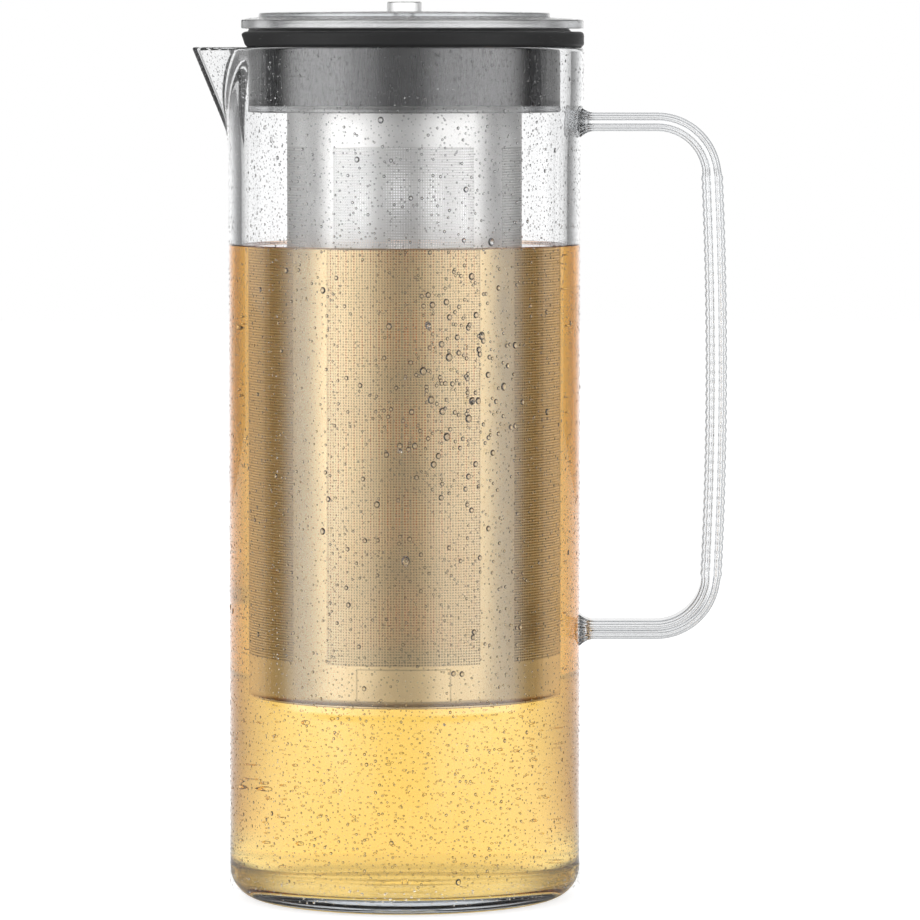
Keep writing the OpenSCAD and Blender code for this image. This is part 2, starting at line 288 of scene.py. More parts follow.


# %% [markdown]
# ## Clear plastic
#
# The jug is one thick moulding of clear plastic. Clear plastic isn't white glass: it bends light with an
# index near 1.5, keeps a very faint grey tint along long paths, and its polished skin has slow waves left
# by the flow in the mould. The waves are a bump of a few thousandths of a millimetre. The tint is an
# absorbing volume, because that darkens the edges, where light runs along the wall, and not the middle.
# The handle's skin also carries painted shade: it is tinted grey where it is seen at a slant, so that its
# grooves draw dark lines.

# %% What all clear pieces share
def clear_blank(name, index):
    """A blank material that lets all light in and bends it by its index."""
    made, tree, skin, out = blank_material(name)
    skin.inputs["Base Color"].default_value = grey(1)
    skin.inputs["Transmission Weight"].default_value = 1
    skin.inputs["IOR"].default_value = index
    return made, tree, skin, out


def absorb(tree, out, colour, per_m):
    """A volume. Over d metres, light of the channel whose colour is c keeps exp(-per_m (1 - c) d)."""
    made = add(tree, "ShaderNodeVolumeAbsorption", {"Color": (*colour, 1), "Density": per_m})
    tree.links.new(made.outputs[0], out.inputs["Volume"])


def slant_painted_shade(tree, skin, edge, low, high, above=None):
    """Paints shade on what is seen at a slant: the colour goes from white to edge as 1 - cos(angle) goes
    from low to high. With above, in millimetres, the tint fades in between these two heights."""
    slant = add(tree, "ShaderNodeLayerWeight", {"Blend": 0.5}).outputs["Facing"]
    share = spread(tree, slant, 0, 1, low, high)
    if above:
        height = spread(tree, own_xyz(tree)["Z"], 0, 1, *[z * MM for z in above])
        share = calc(tree, "MULTIPLY", share, height)
    tree.links.new(mix(tree, share, grey(1), (*edge, 1)), skin.inputs["Base Color"])


# %% Clear plastic for the jug, the handle and the lid
PLASTIC_INDEX, PLASTIC_TINT = 1.5, (0.8, 0.82, 0.84)


def clear_plastic(name, per_m, wave_mm, wave_depth, dull=0.0, edge=None):
    """Plastic that absorbs by per_m, with waves wave_mm wide and wave_depth deep, and a roughness that
    starts at dull."""
    made, tree, skin, out = clear_blank(name, PLASTIC_INDEX)
    if edge:
        slant_painted_shade(tree, skin, edge, 0.05, 0.4)
    bump(tree, skin, noise(tree, wave_mm, 1), wave_depth)
    haze = noise(tree, 14, 2)
    tree.links.new(spread(tree, haze, dull, dull + 0.012, 0.35, 0.8), skin.inputs["Roughness"])
    absorb(tree, out, PLASTIC_TINT, per_m)
    return made


jug_clear = clear_plastic("jug_clear", 28.0, 22, 0.004)
# The handle's grey edge colour is painted shade at a slant, which draws its grooves as lines.
handle_clear = clear_plastic("handle_clear", 30.0, 16, 0.004, edge=(0.3, 0.31, 0.32))
lid_clear = clear_plastic("lid_clear", 16.0, 12, 0.006, dull=0.16)
print("clear plastic: index", PLASTIC_INDEX)

# %% [markdown]
# ## Tea and water drops
#
# Tea is water that swallows blue light. A coloured surface would look like paint, so the colour is in the
# volume: the longer the path through the tea, the deeper the gold. Its skin also carries painted shade: it is
# tinted orange where it is seen at a slant, above the first two centimetres, which is fitted to the
# photograph's warm edges. Drops are plain water.

# %% Tea and water
WATER_INDEX = 1.33
TEA_COLOUR, TEA_PER_M = (0.99, 0.8, 0.1), 22.0


def liquid(name, colour=None, per_m=0.0, edge=None):
    """Water with ripples two thousandths of a millimetre deep, coloured or plain."""
    made, tree, skin, out = clear_blank(name, WATER_INDEX)
    if edge:
        slant_painted_shade(tree, skin, edge, 0.09, 0.28, above=(14, 24))
    ripple = noise(tree, 9, 1)
    bump(tree, skin, ripple, 0.002)
    tree.links.new(spread(tree, ripple, 0.0, 0.004), skin.inputs["Roughness"])
    if colour:
        absorb(tree, out, colour, per_m)
    return made


def cloud_of(name, colour, per_m):
    """A volume without a skin of its own, for the stronger tea inside the weaker."""
    made, tree, out = bare_material(name)
    clear = add(tree, "ShaderNodeBsdfTransparent", {"Color": grey(1)})
    tree.links.new(clear.outputs[0], out.inputs["Surface"])
    absorb(tree, out, colour, per_m)
    return made


# The tea's orange edge colour is painted shade at a slant, for its warm edges.
tea_gold = liquid("tea_gold", TEA_COLOUR, TEA_PER_M, edge=(0.92, 0.62, 0.45))
tea_strong = cloud_of("tea_strong", (0.7, 0.42, 0.1), 60.0)
drop_water = liquid("drop_water")
print("straight through the jug, the tea keeps",
      [round(math.exp(-TEA_PER_M * (1 - c) * 2 * INNER_R * MM), 2) for c in TEA_COLOUR])

# %% [markdown]
# ## Steel
#
# The filter is thin stainless sheet with a satin face: reflections are broad, with fine lines drawn down
# the tube by the rolling. Below the tea's level the steel is tinted brown: partly a faint tea stain, as every
# tea filter has, and partly a painted tint of the light seen through the tea. Above that level the colour is
# multiplied by 0.8, which is painted shade. Both factors are fitted to the photograph, in which the dry
# steel is hardly brighter than the wet. At the filter's foot there is a bare rectangular field with a thin
# darker outline. The band round the lid is darker and more polished, so its reflections are crisper.

# %% Steel finishes
# The dry factor is painted shade; the wet one is a tea stain with a painted tint of the light through the
# tea.
DRY_PAINTED_SHADE, WET_STAIN_AND_PAINTED_TINT = (0.8, 0.8, 0.805, 1), (0.99, 0.85, 0.69, 1)
LEVEL_SOFT = 0.4
FIELD_Z, FIELD_SOFT = 67.2, 0.2
FIELD_OUTER, FIELD_INNER, FIELD_LINE = (12.7, 4.9), (12.3, 4.5), (0.62, 0.6, 0.57)


def bare_field(tree, colour, plain):
    """A rectangle on the front in the outline's colour, and on it a smaller one in the plain steel's."""
    xyz = own_xyz(tree)
    wide = calc(tree, "ABSOLUTE", xyz["X"])
    high = calc(tree, "ABSOLUTE", calc(tree, "SUBTRACT", xyz["Z"], FIELD_Z * MM))
    front = spread(tree, xyz["Y"], 1, 0, -10 * MM, -9 * MM)
    for (half_wide, half_high), tint in ((FIELD_OUTER, FIELD_LINE), (FIELD_INNER, plain)):
        in_x = spread(tree, wide, 1, 0, half_wide * MM, (half_wide + FIELD_SOFT) * MM)
        in_z = spread(tree, high, 1, 0, half_high * MM, (half_high + FIELD_SOFT) * MM)
        field = calc(tree, "MULTIPLY", calc(tree, "MULTIPLY", in_x, in_z), front)
        colour = mix(tree, field, colour, (*tint, 1))
    return colour


def steel(name, plain, smooth, rough, line_depth, stain_and_painted_shade=False, field=False):
    """Metal with a roughness from smooth to rough, by fine lines along Z times broad clouds. One switch adds
    two factors, painted shade above the tea's level and a tea stain with a painted tint below it, and field
    adds the bare rectangle."""
    made, tree, skin, _ = blank_material(name)
    skin.inputs["Metallic"].default_value = 1
    lines, cloud = noise(tree, 0.35, 3, stretch=(1, 1, 0.03)), noise(tree, 7, 3)
    both = calc(tree, "MULTIPLY", lines, cloud)
    tree.links.new(spread(tree, both, smooth, rough, 0.1, 0.4), skin.inputs["Roughness"])
    bump(tree, skin, lines, line_depth)
    dim = (*[c * 0.94 for c in plain], 1)
    colour = mix(tree, spread(tree, cloud, 0, 1, 0.3, 0.7), dim, (*plain, 1))
    if field:
        colour = bare_field(tree, colour, plain)
    if stain_and_painted_shade:
        # Painted shade above the tea's level; below it a tea stain with a painted tint of the light through
        # the tea.
        under = spread(tree, own_xyz(tree)["Z"], 1, 0, (TEA_Z - LEVEL_SOFT) * MM, (TEA_Z + LEVEL_SOFT) * MM)
        factor = mix(tree, under, DRY_PAINTED_SHADE, WET_STAIN_AND_PAINTED_TINT)
        colour = mix(tree, 1.0, colour, factor, blend_type="MULTIPLY")
    tree.links.new(colour, skin.inputs["Base Color"])
    return made


filter_steel = steel("filter_satin_steel", (0.94, 0.93, 0.91), 0.34, 0.46, 0.004, stain_and_painted_shade=True, field=True)
mesh_steel = steel("window_satin_steel", (0.97, 0.96, 0.94), 0.34, 0.46, 0.003, stain_and_painted_shade=True)
band_steel = steel("band_dark_steel", (0.1, 0.1, 0.102), 0.24, 0.33, 0.002)
print("steel finishes: 3")

# %% [markdown]
# ## Rubber
#
# The seal is black silicone. It is nearly matt, with a skin of very fine grain and a slight greasy sheen
# on its rounded edge.

# %% Black silicone
def rubber(name):
    """Black with broad faint clouds in its colour and roughness, and a fine grain."""
    made, tree, skin, _ = blank_material(name)
    cloud = noise(tree, 6, 3)
    tone = mix(tree, cloud, (0.008, 0.008, 0.0085, 1), (0.014, 0.014, 0.0145, 1))
    tree.links.new(tone, skin.inputs["Base Color"])
    tree.links.new(spread(tree, cloud, 0.42, 0.6), skin.inputs["Roughness"])
    skin.inputs["Specular IOR Level"].default_value = 0.25
    bump(tree, skin, noise(tree, 0.12, 2), 0.01)
    return made


seal_black = rubber("seal_black")
print("rubber: 1")

# %% [markdown]
# ## The jug
#
# The jug could be a turned shell with a spout joined to it by a boolean, but that leaves a hard seam in
# clear plastic. Instead one grid covers the whole moulding, outside, rim, inside and floor. The radius is
# a function of the angle and the height: the turned radius, or the beak's radius where that is larger,
# blended over about a millimetre.

# %% Radius functions of the moulding
SPOUT_JOIN, BEAK_END = math.radians(25), math.radians(42)
SPOUT_H, SPOUT_REACH, SPOUT_WALL = 28.5, 11.2, 2.9


def flare(z):
    """Extra radius of the neck: nothing below the flare, 1.1 mm above it, smooth step between."""
    return NECK_FLARE * ease((z - FLARE_FOOT) / (FLARE_TOP - FLARE_FOOT))


def beak_radius(phi, z, low_r, tip_x, root_z, join, edge_r):
    """Radius of a flat-sided beak. At height z its plan is a triangle that grows evenly from a point at
    root_z. Its side runs from the tip T on the spout's axis to a corner S on the rim, and the ray at
    angle phi meets that side at r = T Sy / (Sy cos phi + (T - Sx) sin phi)."""
    grown = np.clip((z - root_z) / (JUG_H - root_z), -0.35, 1)
    soft = np.sqrt(phi**2 + 0.02**2)
    t = low_r + (tip_x - low_r) * grown
    corner = np.maximum(grown, 0.02)
    tx_sx = (tip_x - edge_r * math.cos(join)) * corner
    sy = edge_r * math.sin(join) * corner
    return t * sy / (sy * np.cos(soft) + tx_sx * np.sin(soft))


def joined(turned_r, beak_r, phi, z, root_z, blend):
    """Smooth maximum (a + b + sqrt((a-b)^2 + k^2)) / 2, whose blend k fades out away from the beak."""
    k = blend * ease((BEAK_END - np.abs(phi)) / math.radians(14)) * ease((z - root_z + 12) / 10)
    b = np.where((np.abs(phi) < BEAK_END) & (z > root_z - 12), beak_r, 0)
    return (turned_r + b + np.sqrt((turned_r - b) ** 2 + k**2)) / 2


def outer_radius(phi, z):
    """The outside of the wall and the beak, at the angle phi from the spout."""
    tip, root = BODY_R + SPOUT_REACH, JUG_H - SPOUT_H
    beak = beak_radius(phi, z, BODY_R, tip + 0.75, root, SPOUT_JOIN, BODY_R + NECK_FLARE + 0.3)
    return joined(BODY_R + flare(z), beak, phi, z, root, 0.7)


def inner_radius(phi, z):
    """The inside of the wall and the beak."""
    tip = BODY_R + SPOUT_REACH - SPOUT_WALL
    root = JUG_H - SPOUT_H * (tip - INNER_R) / SPOUT_REACH
    beak = beak_radius(phi, z, INNER_R, tip + 0.6, root, math.radians(28), INNER_R + NECK_FLARE + 0.3)
    return joined(INNER_R + flare(z), beak, phi, z, root, 0.9)


print("tip of the beak at", round(float(outer_radius(np.array(0.0), np.array(JUG_H))), 2), "mm")

# %% Rows of the jug's grid, from the middle of its underside over the rim to the middle of its floor
GIVEN, OUTSIDE, INSIDE = 0, 1, 2
quarter = np.linspace(0, math.pi / 2, 15)
rim = np.linspace(0, math.pi / 2, 7)
wall_z = np.concatenate([np.linspace(BASE_CORNER, 200, 26)[1:], np.linspace(203, 254.6, 44)])
row_kind, row_r, row_z = [], [], []


def rows(kind, r, z):
    """Adds rows whose radius is r itself, or r more than the radius function of the outside or inside."""
    row_kind.append(np.full(len(z), kind))
    row_r.append(np.broadcast_to(r, len(z)))
    row_z.append(np.asarray(z, float))


rows(GIVEN, [12.0, 30.0, 41.0, 43.2], [0, 0, 0, 0])
rows(GIVEN, BODY_R - BASE_CORNER + BASE_CORNER * np.sin(quarter), BASE_CORNER - BASE_CORNER * np.cos(quarter))
rows(OUTSIDE, 0.0, wall_z)
rows(OUTSIDE, -LIP * (1 - np.cos(rim[1:])), JUG_H - LIP + LIP * np.sin(rim[1:]))
rows(INSIDE, LIP * (1 - np.cos(rim[::-1])), JUG_H - LIP + LIP * np.sin(rim[::-1]))
rows(INSIDE, 0.0, np.concatenate([wall_z[::-1][1:], [12.0]]))
rows(GIVEN, INNER_R - FLOOR_CORNER + FLOOR_CORNER * np.cos(quarter),
     FLOOR_T + FLOOR_CORNER - FLOOR_CORNER * np.sin(quarter))
rows(GIVEN, [43.4, 30.0, 15.0, 7.3, 7.0, 6.9, 6.5, 6.35, 3.0, 1.1, 0.85, 0.8, 0.78, 0.65, 0.4],
     [5.6, 5.6, 5.6, 5.6, 5.59, 5.55, 5.23, 5.2, 5.2, 5.2, 5.23, 5.35, 7.0, 7.14, 7.2])
row_kind, row_r, row_z = (np.concatenate(v)[:, None] for v in (row_kind, row_r, row_z))
print("rows:", len(row_z), "- the last ones draw the mould's shallow dish and pip in the floor")

# %% The whole moulding, with narrow columns at the spout
NEAR_SPOUT = math.radians(46)
near = np.sinh(np.linspace(-3.2, 3.2, 130)) / math.sinh(3.2) * NEAR_SPOUT
far = np.linspace(NEAR_SPOUT, TURN - NEAR_SPOUT, 178)[1:-1]
phi = np.concatenate([near, far])[None, :]
around_spout = np.where(phi > math.pi, phi - TURN, phi)
jug_r = np.select([row_kind == OUTSIDE, row_kind == INSIDE],
                  [outer_radius(around_spout, row_z) + row_r, inner_radius(around_spout, row_z) + row_r],
                  row_r + 0 * phi)
jug_xyz = np.stack([-jug_r * np.cos(phi), -jug_r * np.sin(phi), row_z + 0 * phi], -1).reshape(-1, 3)
n_rows, n_cols = jug_r.shape
jug_xyz = np.concatenate([jug_xyz, [[0, 0, 0], [0, 0, 7.2]]])
piece("jug_body_moulding", jug_xyz, grid_faces(n_rows, n_cols), end_fans(n_rows, n_cols),
      material=jug_clear, body="jug", replaces=["jug_body"], slot="clear_jug")

# %% [markdown]
# ## The handle
#
# The handle is a flat clear bar bent into a loop. Its outer and inner faces are finely ribbed along the
# grip, so that a wet hand doesn't slip. It could be a curve with a bevel, but then the ribs and the spread
# feet would need more pieces. Here a rounded rectangle is carried along the loop, and its thickness and
# width are functions of the distance along it. Fine grooves along its narrow faces, a few tenths of a
# millimetre deep, draw the lines that run along the whole bar.

# %% The loop's centre line
BAR_T, BAR_W, BAR_CORNER = 5.6, 12.5, 2.45
ARM_TOP, ARM_LOW, ARMS_APART = 233.2, 80.7, 152.5
BEND_R, BEND_X = 16.5, 75.554
BOW_R, BOW_X, GRIP_MID = 1250.0, -1156.5, 156.95
BOW = math.asin((ARMS_APART / 2 - BEND_R) / (BOW_R - BEND_R))
RIB, SUNK, ARM_ROWS = 2.7, 0.35, 16


def loop_line():
    """Points and outward normals of the loop in its plane: arm, bend, bow, bend, arm. An arc's point is
    centre + radius (cos a, sin a), and its outward normal is (cos a, sin a)."""
    arm_x = np.concatenate([np.linspace(52.0, 58.0, ARM_ROWS), np.linspace(59, BEND_X, 8)[:-1]])
    top = np.stack([arm_x, np.full(len(arm_x), ARM_TOP), 0 * arm_x, 0 * arm_x + 1], -1)
    a = np.linspace(math.pi / 2, BOW, 30)
    bend = np.stack([BEND_X + BEND_R * np.cos(a), ARM_TOP - BEND_R + BEND_R * np.sin(a),
                     np.cos(a), np.sin(a)], -1)
    reach = 2 * BOW * BOW_R
    b = np.linspace(BOW, -BOW, int(reach / RIB * 9))[1:-1]
    bow = np.stack([BOW_X + BOW_R * np.cos(b), GRIP_MID + BOW_R * np.sin(b), np.cos(b), np.sin(b)], -1)
    half = np.concatenate([top, bend])
    low = half[::-1] * [1, -1, 1, -1] + [0, 2 * GRIP_MID, 0, 0]
    return np.concatenate([half, bow, low])


line = loop_line()
step = np.linalg.norm(np.diff(line[:, :2], axis=0), axis=1)
along = np.concatenate([[0], np.cumsum(step)])
from_mid = along - along[-1] / 2
print("loop is", round(along[-1], 1), "mm long, with", round(2 * BOW * BOW_R / RIB), "ribs")

# %% The bar's section: narrow faces with two grooves a side, and plain flats
half_n = np.sin(np.linspace(-1, 1, 57) * math.pi / 2) * BAR_T / 2
off_flat = np.maximum(np.abs(half_n) - (BAR_T / 2 - BAR_CORNER), 0)
rounding = BAR_CORNER - np.sqrt(BAR_CORNER**2 - off_flat**2)
grooves = sum(depth * np.exp(-((np.abs(half_n) - at) / wide) ** 2)
              for depth, at, wide in ((0.5, 0.97, 0.3), (0.34, 2.02, 0.2)))
face = np.stack([BAR_W / 2 - rounding - grooves, half_n], -1)
flat = np.stack([np.linspace(3, -3, 3), np.full(3, BAR_T / 2)], -1)
section = np.concatenate([face, flat, face[::-1] * [-1, 1], flat[::-1] * [1, -1]])

# %% Thickness and width along the bar
grip = ease((BOW * BOW_R + 1.5 - np.abs(from_mid)) / 2.5)
ridge = grip * (0.5 + 0.5 * np.cos(TURN * from_mid / RIB)) ** 0.6
foot = 1.9 * np.clip(1 - (line[:, 0] - BODY_R) / 4.2, 0, 1) ** 2
half_t = BAR_T / 2 + foot + grip * 0.18 + 0.31 * ridge
half_w = BAR_W / 2 + foot + grip * 0.19
bar_y = section[None, :, 0] / (BAR_W / 2) * half_w[:, None]
bar_n = section[None, :, 1] / (BAR_T / 2) * half_t[:, None]
bar_x = line[:, None, 0] + bar_n * line[:, None, 2]
bar_z = line[:, None, 1] + bar_n * line[:, None, 3]
print("grip is", round(2 * float(half_t.max()), 2), "mm thick over its ribs")

# %% Ends sunk into the wall
def sunk_x(y, z):
    """X of a point that lies SUNK below the jug's skin on the handle's side, sqrt(r^2 - y^2)."""
    return np.sqrt((outer_radius(np.array(math.pi), z) - SUNK) ** 2 - y**2)


def end_rings(row):
    """Rings that close an end. They shrink towards the arm's middle and lie on the wall's curve."""
    shrink = np.array([0.75, 0.5, 0.25])[:, None]
    y = bar_y[row] * shrink
    z = line[row, 1] + (bar_z[row] - line[row, 1]) * shrink
    return np.stack([sunk_x(y, z), y, z], -1)


from_end = np.minimum(np.arange(len(line)), len(line) - 1 - np.arange(len(line)))[:, None]
bar_x = np.where(from_end < ARM_ROWS, np.maximum(bar_x, sunk_x(bar_y, bar_z) + 0.02 * from_end), bar_x)
rings = np.concatenate([end_rings(0)[::-1], np.stack([bar_x, bar_y, bar_z], -1), end_rings(-1)])
n_rings, n_sec = rings.shape[:2]
tips = [[float(sunk_x(0, np.array(z))), 0, z] for z in (ARM_TOP, ARM_LOW)]
piece("handle_loop", np.concatenate([rings.reshape(-1, 3), tips]), grid_faces(n_rings, n_sec),
      end_fans(n_rings, n_sec), material=handle_clear, body="jug", replaces=["handle"], slot="clear_jug")

# %% [markdown]
# ## The tea
#
# The tea fills the jug to just above three quarters and creeps a little up the wall. Inside the filter it
# is stronger, because it draws from the leaves there, which makes the holes look brown. It is one closed
# volume that reaches a twentieth of a millimetre into the plastic. If it stopped short, a film of air
# would mirror the wall. Where two clear solids overlap this little, light ends up bent exactly as if it
# had passed from one into the other.

# %% The tea's volume
INTO_WALL = 0.05
BREW_R, BREW_Z = 34.2, 61.4
tea_r, tea_foot, tea_corner = INNER_R + INTO_WALL, FLOOR_T - INTO_WALL, FLOOR_CORNER + INTO_WALL
creep = np.linspace(0, 1, 14)[:, None]
tea_line = np.concatenate([
    [[0, tea_foot], [20, tea_foot], [42.0, tea_foot]],
    np.stack([INNER_R - FLOOR_CORNER + tea_corner * np.sin(quarter),
              FLOOR_T + FLOOR_CORNER - tea_corner * np.cos(quarter)], -1),
    np.stack([np.full(20, tea_r), np.linspace(14, TEA_Z - 4, 20)], -1),
    [[tea_r, TEA_Z + 0.2], [tea_r, TEA_Z + 0.5]],
    np.concatenate([tea_r - 7 * creep**2, TEA_Z + 0.6 * np.exp(-7 * creep**2 / 0.7)], 1),
    [[34, TEA_Z], [20, TEA_Z], [8, TEA_Z], [0, TEA_Z]]])
turned("tea", tea_line, around=256, material=tea_gold, body="jug")
brew_line = [[0, BREW_Z], [BREW_R, BREW_Z], [BREW_R, 130.0], [BREW_R, TEA_Z - 0.3], [0, TEA_Z - 0.3]]
turned("strong_tea_in_filter", brew_line, around=96, material=tea_strong, body="jug")

# %% [markdown]
# ## The filter
#
# A rolled tube with four tall windows of perforated sheet, closed below by a pressed cup. A picture of
# holes would do from afar, but light has to pass through them here, so they are real: each window is a
# grid in which every second cell both ways is left out, given the sheet's thickness and bent to the tube.

# %% The tube with its window openings
def tube_shell():
    """A grid of angles and heights on the tube's radius with the window cells left out."""
    pillar = TURN / 4 - WINDOW_ANGLE
    edge, next_edge = WINDOW_ANGLE / 2, WINDOW_ANGLE / 2 + pillar
    one = np.concatenate([np.linspace(-edge, edge, 33)[:-1], [edge, edge + 0.004],
                          np.linspace(edge + 0.03, next_edge - 0.03, 8), [next_edge - 0.004]])
    a = np.concatenate([one + k * TURN / 4 for k in range(4)])
    z = np.concatenate([np.linspace(TUBE_Z + SHEET_T, WINDOW_Z - 0.15, 7),
                        np.linspace(WINDOW_Z, WINDOW_TOP, 40),
                        np.linspace(WINDOW_TOP + 0.15, SEAT_Z, 7)])
    points = np.stack(np.broadcast_arrays(TUBE_R * np.cos(a), TUBE_R * np.sin(a), z[:, None]), -1)
    quads = grid_faces(len(z), len(a)).reshape(len(z) - 1, len(a), 4)
    column = np.arange(len(a)) % len(one) < 32
    row = (z[:-1] > WINDOW_Z - 0.1) & (z[:-1] < WINDOW_TOP - 0.1)
    return points, quads[~(row[:, None] & column[None, :])]


in_filter = {"material": filter_steel, "body": "filter", "slot": "filter_steel"}
tube = piece("filter_tube_sheet", *tube_shell(), replaces=["filter_tube"], open_sheet=True, **in_filter)
thick = tube.modifiers.new("sheet", "SOLIDIFY")
thick.thickness, thick.offset, thick.use_rim = SHEET_T * MM, -1, True

# %% The four perforated windows
HOLE, COLUMNS, ROWS = 0.47, 56, 97
MESH_T = 0.4


def hole_lines(length, count):
    """Both ends of a length and, between them, both edges of each of its holes."""
    pitch = length / count
    edges = ((np.arange(count) + 0.5) * pitch)[:, None] + [-HOLE / 2, HOLE / 2]
    return np.concatenate([[0], edges.ravel(), [length]])


def perforated(toward, low, high):
    """Half a window as a grid of lines at both edges of each hole. Cell (odd, odd) is a hole. Front and back
    sheets are the same grid at two radii, and each hole and the outer edge get walls between them."""
    arc = WINDOW_ANGLE * TUBE_R
    a = toward + (hole_lines(arc, COLUMNS) - arc / 2) / TUBE_R
    z = low + hole_lines(high - low, ROWS)
    sheets = [np.stack(np.broadcast_arrays(r * np.cos(a), r * np.sin(a), z[:, None]), -1)
              for r in (TUBE_R, TUBE_R - MESH_T)]
    nz, na = len(z), len(a)
    i, j = np.meshgrid(np.arange(nz - 1), np.arange(na - 1), indexing="ij")
    cell = np.stack([i * na + j, i * na + j + 1, (i + 1) * na + j + 1, (i + 1) * na + j], -1)
    hole = (i % 2 == 1) & (j % 2 == 1)
    back = nz * na
    solid, rims = cell[~hole], cell[hole]
    k, m, last = np.arange(na - 1), np.arange(nz - 1), (nz - 1) * na
    edges = [np.stack([rims, np.roll(rims, -1, 1)], -1).reshape(-1, 2), np.stack([k + 1, k], -1),
             np.stack([last + k, last + k + 1], -1), np.stack([m * na, (m + 1) * na], -1),
             np.stack([(m + 1) * na + na - 1, m * na + na - 1], -1)]
    start, end = np.concatenate(edges).T
    walls = np.stack([start, end, end + back, start + back], -1)
    return np.concatenate(sheets), np.concatenate([solid, solid[:, ::-1] + back, walls])


middle = (WINDOW_Z + WINDOW_TOP) / 2
for side, toward in (("front", -0.25), ("right", 0.0), ("back", 0.25), ("left", 0.5)):
    for half, low, high in (("lower", WINDOW_Z, middle), ("upper", middle, WINDOW_TOP)):
        window = piece(f"window_{side}_{half}", *perforated(toward * TURN, low, high), material=mesh_steel,
                       body="filter", replaces=[f"mesh_{side}"], slot="mesh_steel")
        window.data.shade_flat()

# %% Base cup and hanging rim
CUP_R, CUP_IN, CUP_TOP = 34.5, 33.9, 66.0
cup_floor = TUBE_Z + SHEET_T
cup = [[0, TUBE_Z], [TUBE_R, TUBE_Z], [TUBE_R, cup_floor], [CUP_R, cup_floor], [CUP_R, CUP_TOP],
       [CUP_IN, CUP_TOP], [CUP_IN, cup_floor], [0, cup_floor]]
turned("filter_base_cup", softened(cup, [0, 0.35, 0.1, 0.02, 0.1, 0.1, 0.3, 0]),
       replaces=["filter_base"], **in_filter)
rim_ring = [[34.6, SEAT_Z], [40.0, SEAT_Z], [40.0, SEAT_Z + 1.2], [34.6, SEAT_Z + 1.2]]
turned("filter_hanging_rim", softened(rim_ring, [0.05, 0.3, 0.3, 0.5]), replaces=["filter_rim"], **in_filter)

# %% [markdown]
# ## The lid
#
# The lid is a clear skirt with a foot ring, a dark steel band pushed over it, a black rubber seal on the
# jug's rim and a clear plate. Seal and plate are cut straight over the spout, so that tea can leave.
# Each is a turned outline whose outer part is squeezed inwards near the spout, up to a straight line.

# %% Skirt and band
FOOT_R, SKIRT_R, SKIRT_IN = 46.8, 46.2, 44.2
BAND_IN, BAND_OUT, BAND_TOP = 46.3, 46.7, 255.5
skirt = [[35.5, 236.2], [FOOT_R, 236.2], [FOOT_R, SEAT_Z], [SKIRT_R, SEAT_Z], [SKIRT_R, SEAL_TOP],
         [SKIRT_IN, SEAL_TOP], [SKIRT_IN, SEAT_Z], [35.5, SEAT_Z]]
in_lid = {"material": lid_clear, "body": "lid", "slot": "clear_lid"}
turned("lid_skirt_ring", softened(skirt, [0.4, 0.5, 0.3, 0.02, 0.2, 0.2, 0.6, 0.4]), replaces=["lid_skirt"],
       **in_lid)
band = [[BAND_IN, SEAT_Z], [BAND_OUT, SEAT_Z], [BAND_OUT, BAND_TOP], [BAND_IN, BAND_TOP]]
turned("band_sleeve", softened(band, 0.12), around=320, material=band_steel, body="lid",
       replaces=["steel_band"], slot="band_steel")


# %% The straight cut over the spout
def cut_straight(limit, inner):
    """Squeezes radii beyond inner so that the outermost one, reach, ends on the line at distance limit(z)
    from the axis: new r = inner + (r - inner) (min(reach, limit / cos) - inner) / (reach - inner). The
    minimum is rounded over about a millimetre."""
    def bend(r, z, a):
        """The new radii at the angles a, and the heights as they were."""
        reach = r.max()
        away = -np.cos(a)
        flat = np.where(away > 0.3, limit(z) / np.maximum(away, 0.3), 4 * reach)
        edge = (reach + flat - np.sqrt((reach - flat) ** 2 + 0.12)) / 2
        edge = np.where(flat > 1.5 * reach, reach, edge)
        return np.where(r > inner, inner + (r - inner) * (edge - inner) / (reach - inner), r), z
    return bend


def arrow(z):
    """The seal's pointed edge: 46.8 mm out at its foot and top, 48.1 mm at its point."""
    return 46.75 + 1.35 * np.clip(np.where(z < 259.35, (z - 255.5) / 3.85, (261.0 - z) / 1.65), 0, 1)


# %% Seal and cover plate
seal = [[BAND_IN, BAND_TOP], [53.1, BAND_TOP], [53.75, 256.2], [53.75, 260.1], [50.0, 260.1],
        [49.1, SEAL_TOP], [BAND_IN, SEAL_TOP]]
turned("rubber_seal", softened(seal, [0.1, 0.15, 0.3, 1.3, 0.3, 0.2, 0.1], 7), around=320,
       bend=cut_straight(arrow, 46.35), material=seal_black, body="lid", replaces=["seal"],
       slot="seal_rubber")


def dome(r):
    """Height of the plate's top: 2.6 mm at its edge and 2 mm higher on the axis, as a parabola."""
    return SEAL_TOP + 2.6 + 2.0 * (1 - (r / PLATE_R) ** 2)


plate = [[41.0, SEAL_TOP], [53.65, SEAL_TOP], [53.65, float(dome(53.65))], [41.0, CAP_Z]]
turned("cover_plate", softened(plate, [0.2, 0.35, 0.5, 0.25]), around=512,
       bend=cut_straight(lambda z: CUT_AT - 0.03 + 0 * z, 43.7), replaces=["lid_plate"], **in_lid)

# %% [markdown]
# ## Cap and knob
#
# The cap is a clear disc that covers the filling hole, with a ring below that centres it, and a small
# flat knob to lift it by. They are plain turned mouldings, with edges as soft as a mould leaves them.

